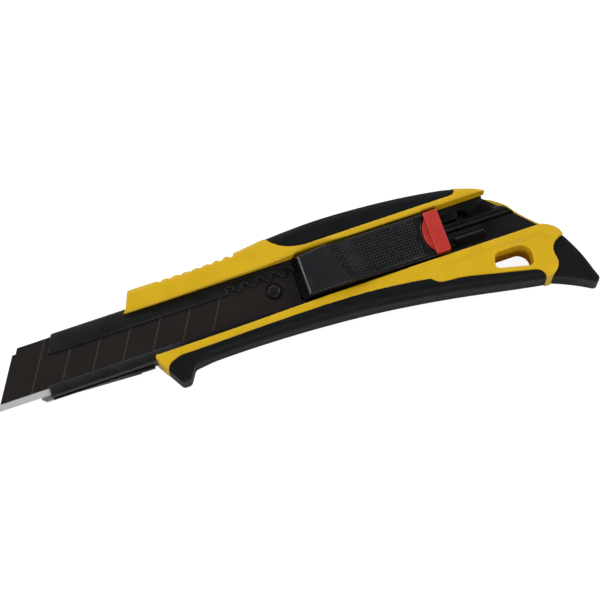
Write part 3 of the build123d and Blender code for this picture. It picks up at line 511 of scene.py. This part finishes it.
def near_crease(co):
    """True for a point of the face that lies close to the crease."""
    if co.z < CREASE_LOW_Z or not CREASE_FRONT_X < co.x < CREASE_REAR_X:
        return False
    point = Vector((co.x, co.y)) / MM
    for (x0, y0), (x1, y1) in zip(CREASE, CREASE[1:]):
        start, run = Vector((x0, y0)), Vector((x1 - x0, y1 - y0))
        share = min(1.0, max(0.0, (point - start).dot(run) / run.length_squared))
        if (start + run * share - point).length < CREASE_REACH:
            return True
    return False


band = shell.vertex_groups.new(name="crease")
band.add([vertex.index for vertex in shell.data.vertices if near_crease(vertex.co)], 1.0, "REPLACE")
apply_modifier(shell, "SMOOTH", factor=0.5, iterations=CREASE_PASSES, vertex_group="crease")
apply_modifier(shell, "DECIMATE", ratio=SHELL_KEEP)
dress(shell, YELLOW, "handle", "yellow_plastic", "handle_shell")

# ---------------------------------------------------------------- softened grips, fin and channel
spine_grip = own_copy("upper_grip", "spine_grip")
mould(spine_grip, 0.22, 4)
dress(spine_grip, ELASTOMER, "handle", "black_elastomer", "upper_grip")

belly_grip = own_copy("lower_grip", "belly_grip")
mould(belly_grip, 0.26, 7)
dress(belly_grip, ELASTOMER, "handle", "black_elastomer", "lower_grip")

fin = own_copy("tail_fin", "hooked_fin")
mould(fin, 0.3, 10)
dress(fin, ELASTOMER, "handle", "black_plastic", "tail_fin")

channel = own_copy("blade_holder", "steel_channel")
round_edges(channel, 0.25, 3)
dress(channel, COATED, "handle", "black_steel", "blade_holder")

# ---------------------------------------------------------------- softened slider
DOME_ROUND = 0.75
DOME_SEGMENTS = 6
peg = own_copy("blade_peg", "domed_peg")
peg_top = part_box("blade_peg")[1].z
clear_choice(peg, "EDGE")
for polygon in peg.data.polygons:
    polygon.select = polygon.center.z > peg_top - 0.01 * MM
bevel_choice(DOME_ROUND, DOME_SEGMENTS)
smooth(peg)
dress(peg, PEG_NYLON, "slider", "black_plastic", "blade_peg")

SLIDER_KEEP = 0.6
runner = own_copy("carriage", "slider_carriage")
mould(runner, 0.22, 2, SLIDER_KEEP)
dress(runner, NYLON, "slider", "black_plastic", "carriage")

pad = own_copy("slider_pad", "thumb_pad")
round_corner(pad, EDGE_ROUND, EDGE_SEGMENTS, lambda co: co.x < CREST_X,
             lambda normal: normal.z > 0.7, lambda normal: normal.x < -0.7)
mould(pad, 0.18, 3, SLIDER_KEEP)
dress(pad, PAD_NYLON, "slider", "black_plastic", "slider_pad")

# ---------------------------------------------------------------- thumb pad's grip
# Rows of low pips, each a small dome on the pad's hollow. The rows start behind the crest and end before
# the rear rim, sooner by up to PIP_REAR_BOW the nearer a row is to the middle line.
PIP_PITCH = 0.96 * MM
PIP_RADIUS = 0.36 * MM
PIP_HEIGHT = 0.26 * MM
PIP_LOW_Y = -5.3 * MM
PIP_ROWS = 13
PIP_COLUMNS = 32
PIP_FIRST_X = 3.2 * MM
PIP_FRONT_GAP = 1.0 * MM
PIP_REAR_GAP = 1.7 * MM
PIP_REAR_BOW = 2.3 * MM
ABOVE_ALL_Z = 0.1
bpy.ops.mesh.primitive_uv_sphere_add(segments=8, ring_count=6, radius=1.0)
pip = bpy.context.object
pip.name = "pip"
pip.scale = (PIP_RADIUS, PIP_RADIUS, PIP_HEIGHT)
bpy.ops.object.transform_apply(scale=True)
bpy.ops.object.shade_smooth()
pad_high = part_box("slider_pad")[1]
surface = BVHTree.FromObject(pad, bpy.context.evaluated_depsgraph_get())
pips = []
for row in range(PIP_ROWS):
    y = PIP_LOW_Y + row * PIP_PITCH
    front = CREST_X - CREST_LEAN * y + PIP_FRONT_GAP
    rear = pad_high.x - PIP_REAR_GAP - PIP_REAR_BOW * (1 - (y / pad_high.y) ** 2)
    for column in range(PIP_COLUMNS):
        x = PIP_FIRST_X + column * PIP_PITCH
        if front < x < rear:
            foot, upright = surface.ray_cast(Vector((x, y, ABOVE_ALL_Z)), Vector((0, 0, -1)))[:2]
            dot = pip.copy()
            dot.data = pip.data.copy()
            dot.location = foot
            dot.rotation_euler = upright.to_track_quat("Z", "Y").to_euler()
            bpy.context.scene.collection.objects.link(dot)
            pips.append(dot)
bpy.data.objects.remove(pip)
bpy.ops.object.select_all(action="DESELECT")
for dot in pips:
    dot.select_set(True)
bpy.context.view_layer.objects.active = pips[0]
bpy.ops.object.join()
grip_pips = bpy.context.object
grip_pips.name = "pad_pips"
bpy.ops.object.transform_apply(location=True, rotation=True, scale=True)
dress(grip_pips, LIT_PIP_NYLON, "slider", "black_plastic")

# ---------------------------------------------------------------- floor and light
FLOOR_SIZE = 6
FLOOR_GAP = 0.05 * MM
# The paper is a light grey to the light that it throws back, and lifted to white where it is looked at.
PAPER_TONE = (0.85, 0.85, 0.85, 1)
PAPER_SEEN_TONE = (0.3, 0.3, 0.3, 1)
PAPER_LIFT = 0.9
bpy.ops.mesh.primitive_plane_add(size=FLOOR_SIZE, location=(0, 0, -FLOOR_GAP))
floor = bpy.context.object
floor.name = "floor"
paper, tree, shader = new_material("white_paper_floor")
shader.inputs["Roughness"].default_value = 0.9
rays = add_node(tree, "ShaderNodeLightPath").outputs
seen = maths(tree, "MAXIMUM", rays["Is Camera Ray"], rays["Is Transmission Ray"])
tree.links.new(blend(tree, seen, PAPER_TONE, PAPER_SEEN_TONE), shader.inputs["Base Color"])
glow = add_node(tree, "ShaderNodeEmission", {"Strength": maths(tree, "MULTIPLY", seen, PAPER_LIFT)})
both = add_node(tree, "ShaderNodeAddShader", {0: shader.outputs["BSDF"], 1: glow.outputs["Emission"]})
tree.links.new(both.outputs["Shader"], tree.nodes["Material Output"].inputs["Surface"])
floor.data.materials.append(paper)

WORLD_STRENGTH = 0.1
world = bpy.data.worlds.new("world")
bpy.context.scene.world = world
world.use_nodes = True
world.node_tree.nodes["Background"].inputs["Color"].default_value = (1, 1, 1, 1)
world.node_tree.nodes["Background"].inputs["Strength"].default_value = WORLD_STRENGTH

# Each square lamp's name, place and size in metres, and power in watts. They all face the knife.
SOFTBOXES = [
    ("back_softbox", (0.0, 0.78, 0.55), 0.8, 4.3),
    ("front_softbox", (0.0, -0.75, 0.6), 0.3, 3.6),
    ("left_softbox", (-0.75, 0.25, 0.54), 0.22, 3.5),
    ("right_softbox", (0.7, 0.05, 0.65), 0.3, 3.2),
]
for name, place, size, power in SOFTBOXES:
    bpy.ops.object.light_add(type="AREA", location=place)
    lamp = bpy.context.object
    lamp.name = name
    lamp.data.size = size
    lamp.data.energy = power
    lamp.rotation_euler = (-Vector(place)).to_track_quat("-Z", "Y").to_euler()

bpy.context.scene.view_settings.view_transform = "Standard"
